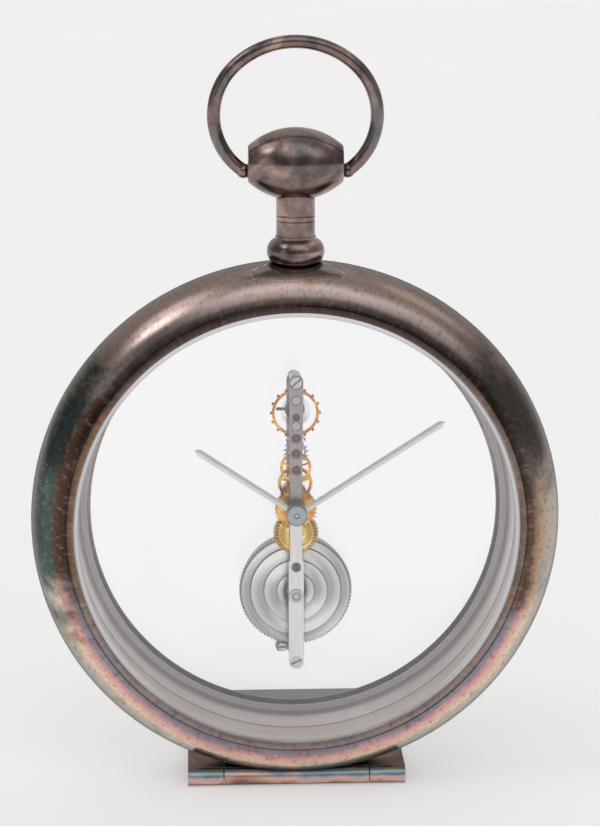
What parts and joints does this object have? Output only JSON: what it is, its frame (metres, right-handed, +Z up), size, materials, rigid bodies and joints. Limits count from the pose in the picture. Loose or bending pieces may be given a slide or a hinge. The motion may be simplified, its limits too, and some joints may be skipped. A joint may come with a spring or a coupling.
{
  "type": "desk clock",
  "caption": "Desk clock shaped like an open-face pocket watch: a hollow ring with two glasses, a narrow in-line skeleton movement, baton hands, a crown with a bow, and a folding foot.",
  "frame": {"origin": "on the underside of the foot, straight below the middle of the case, halfway through its depth", "axes": "+X to the right seen from the dial side, +Y to the back, +Z up; the hands face -Y"},
  "size_m": [0.1464, 0.0795, 0.2093],
  "materials": {
    "case_silver": "tarnished silver plate, satin",
    "foot_silver": "heavily tarnished silver plate, satin",
    "sleeve_nickel": "brushed around the axis",
    "clear_glass": "clear, polished, bevelled rim",
    "gasket_grey": "matte",
    "pin_steel": "satin",
    "bushing_copper": "tarnished",
    "bar_taupe": "grained lengthwise",
    "bar_silver": "fine grained, bright",
    "screw_steel": "polished",
    "jewel_red": "polished ruby",
    "jewel_purple": "polished ruby",
    "dark_steel": "dark satin",
    "spring_steel": "blued",
    "wheel_gold": "gilt, satin",
    "wheel_deep_gold": "gilt, darker satin",
    "wheel_polished_gold": "gilt, polished",
    "arbor_steel": "polished",
    "barrel_silver": "turned, fine concentric lines",
    "hand_silver": "polished with a bevelled strip",
    "hub_steel": "polished, cool grey",
    "key_brass": "satin"
  },
  "bodies": {
    "case": {"case_ring": "case_silver", "front_bezel": "case_silver", "rear_bezel": "case_silver", "inner_sleeve": "sleeve_nickel", "front_glass": "clear_glass", "rear_glass": "clear_glass", "gaskets": "gasket_grey", "pendant_collar": "case_silver", "pendant_neck": "case_silver", "pendant_stud": "pin_steel", "crown": "case_silver", "bow_bushings": "bushing_copper", "case_lug": "foot_silver", "rear_plate": "bar_silver", "train_bridge": "bar_taupe", "barrel_bridge": "bar_silver", "bridge_bushes": "bar_silver", "pillars": "bar_silver", "bridge_screws": "screw_steel", "steady_pins": "pin_steel", "mounting_screws": "screw_steel", "jewels": "jewel_red", "pallet_cock": "bar_silver", "hairspring": "spring_steel", "click_spring": "spring_steel", "click_screw": "screw_steel"},
    "foot": {"foot_plate": "foot_silver", "hinge_pin": "pin_steel"},
    "bow": {"bow": "case_silver"},
    "regulator": {"regulator": "dark_steel"},
    "click": {"click": "screw_steel"},
    "winding": {"barrel_arbor": "arbor_steel", "ratchet_wheel": "arbor_steel", "winding_key": "key_brass"},
    "barrel": {"barrel_drum": "barrel_silver", "barrel_cover": "barrel_silver", "mainspring": "spring_steel"},
    "intermediate": {"intermediate_wheel": "wheel_deep_gold", "intermediate_pinion": "arbor_steel"},
    "centre": {"centre_wheel": "wheel_gold", "centre_arbor": "arbor_steel", "cannon_pinion": "arbor_steel", "minute_hand": "hand_silver", "hand_nut": "hub_steel", "setting_knob": "key_brass"},
    "minute_work": {"minute_wheel": "wheel_polished_gold"},
    "hour": {"hour_wheel": "wheel_gold", "hour_hand": "hand_silver"},
    "third": {"third_wheel": "wheel_gold", "third_pinion": "arbor_steel"},
    "fourth": {"fourth_wheel": "wheel_gold", "fourth_pinion": "arbor_steel"},
    "escape": {"escape_wheel": "dark_steel", "escape_pinion": "arbor_steel"},
    "pallets": {"pallet_fork": "arbor_steel", "pallet_stones": "jewel_purple"},
    "balance": {"balance_wheel": "wheel_gold", "balance_screws": "wheel_gold", "balance_staff": "arbor_steel", "impulse_jewel": "jewel_red"}
  },
  "joints": [
    {"name": "foot_fold", "type": "hinge", "parent": "case", "child": "foot", "pos_m": [0, -0.0055, 0.0025], "axis": [1, 0, 0], "range_deg": [-90, 0]},
    {"name": "bow_swing", "type": "hinge", "parent": "case", "child": "bow", "pos_m": [0, 0, 0.173], "axis": [1, 0, 0], "range_deg": [-150, 150]},
    {"name": "regulator_turn", "type": "hinge", "parent": "case", "child": "regulator", "pos_m": [0, 0.0068, 0.1059], "axis": [0, 1, 0], "range_deg": [-20, 20]},
    {"name": "click_lift", "type": "hinge", "parent": "case", "child": "click", "pos_m": [-0.0036, 0.0082, 0.0363], "axis": [0, 1, 0], "range_deg": [-8, 0]},
    {"name": "winding_turn", "type": "hinge", "parent": "case", "child": "winding", "pos_m": [0, 0.0082, 0.0549], "axis": [0, 1, 0], "range_deg": [0, 1152]},
    {"name": "pallet_rock", "type": "hinge", "parent": "case", "child": "pallets", "pos_m": [0, -0.00125, 0.1], "axis": [0, 1, 0], "range_deg": [-5.5, 5.5]},
    {"name": "balance_swing", "type": "hinge", "parent": "case", "child": "balance", "pos_m": [0, 0.00185, 0.1059], "axis": [0, 1, 0], "range_deg": [-270, 270]},
    {"name": "centre_turn", "type": "hinge", "parent": "case", "child": "centre", "pos_m": [0, 0.0003, 0.0793], "axis": [0, 1, 0], "continuous": true},
    {"name": "intermediate_turn", "type": "hinge", "parent": "case", "child": "intermediate", "pos_m": [0, -0.0005, 0.0723], "axis": [0, 1, 0], "continuous": true},
    {"name": "barrel_turn", "type": "hinge", "parent": "case", "child": "barrel", "pos_m": [0, 0.0023, 0.0549], "axis": [0, 1, 0], "continuous": true},
    {"name": "third_turn", "type": "hinge", "parent": "case", "child": "third", "pos_m": [0, 0.0032, 0.0855], "axis": [0, 1, 0], "continuous": true},
    {"name": "fourth_turn", "type": "hinge", "parent": "case", "child": "fourth", "pos_m": [0, -0.00025, 0.0909], "axis": [0, 1, 0], "continuous": true},
    {"name": "escape_turn", "type": "hinge", "parent": "case", "child": "escape", "pos_m": [0, -0.00125, 0.0956], "axis": [0, 1, 0], "continuous": true},
    {"name": "minute_work_turn", "type": "hinge", "parent": "case", "child": "minute_work", "pos_m": [0, -0.00115, 0.0723], "axis": [0, 1, 0], "continuous": true},
    {"name": "hour_turn", "type": "hinge", "parent": "case", "child": "hour", "pos_m": [0, -0.0017, 0.0793], "axis": [0, 1, 0], "continuous": true}
  ],
  "couplings": [
    {"joint": "intermediate_turn", "follows": "centre_turn", "ratio": -0.13333},
    {"joint": "barrel_turn", "follows": "centre_turn", "ratio": 0.016667},
    {"joint": "third_turn", "follows": "centre_turn", "ratio": -8},
    {"joint": "fourth_turn", "follows": "centre_turn", "ratio": 60},
    {"joint": "escape_turn", "follows": "centre_turn", "ratio": -600},
    {"joint": "minute_work_turn", "follows": "centre_turn", "ratio": -0.33333},
    {"joint": "hour_turn", "follows": "centre_turn", "ratio": 0.083333}
  ]
}
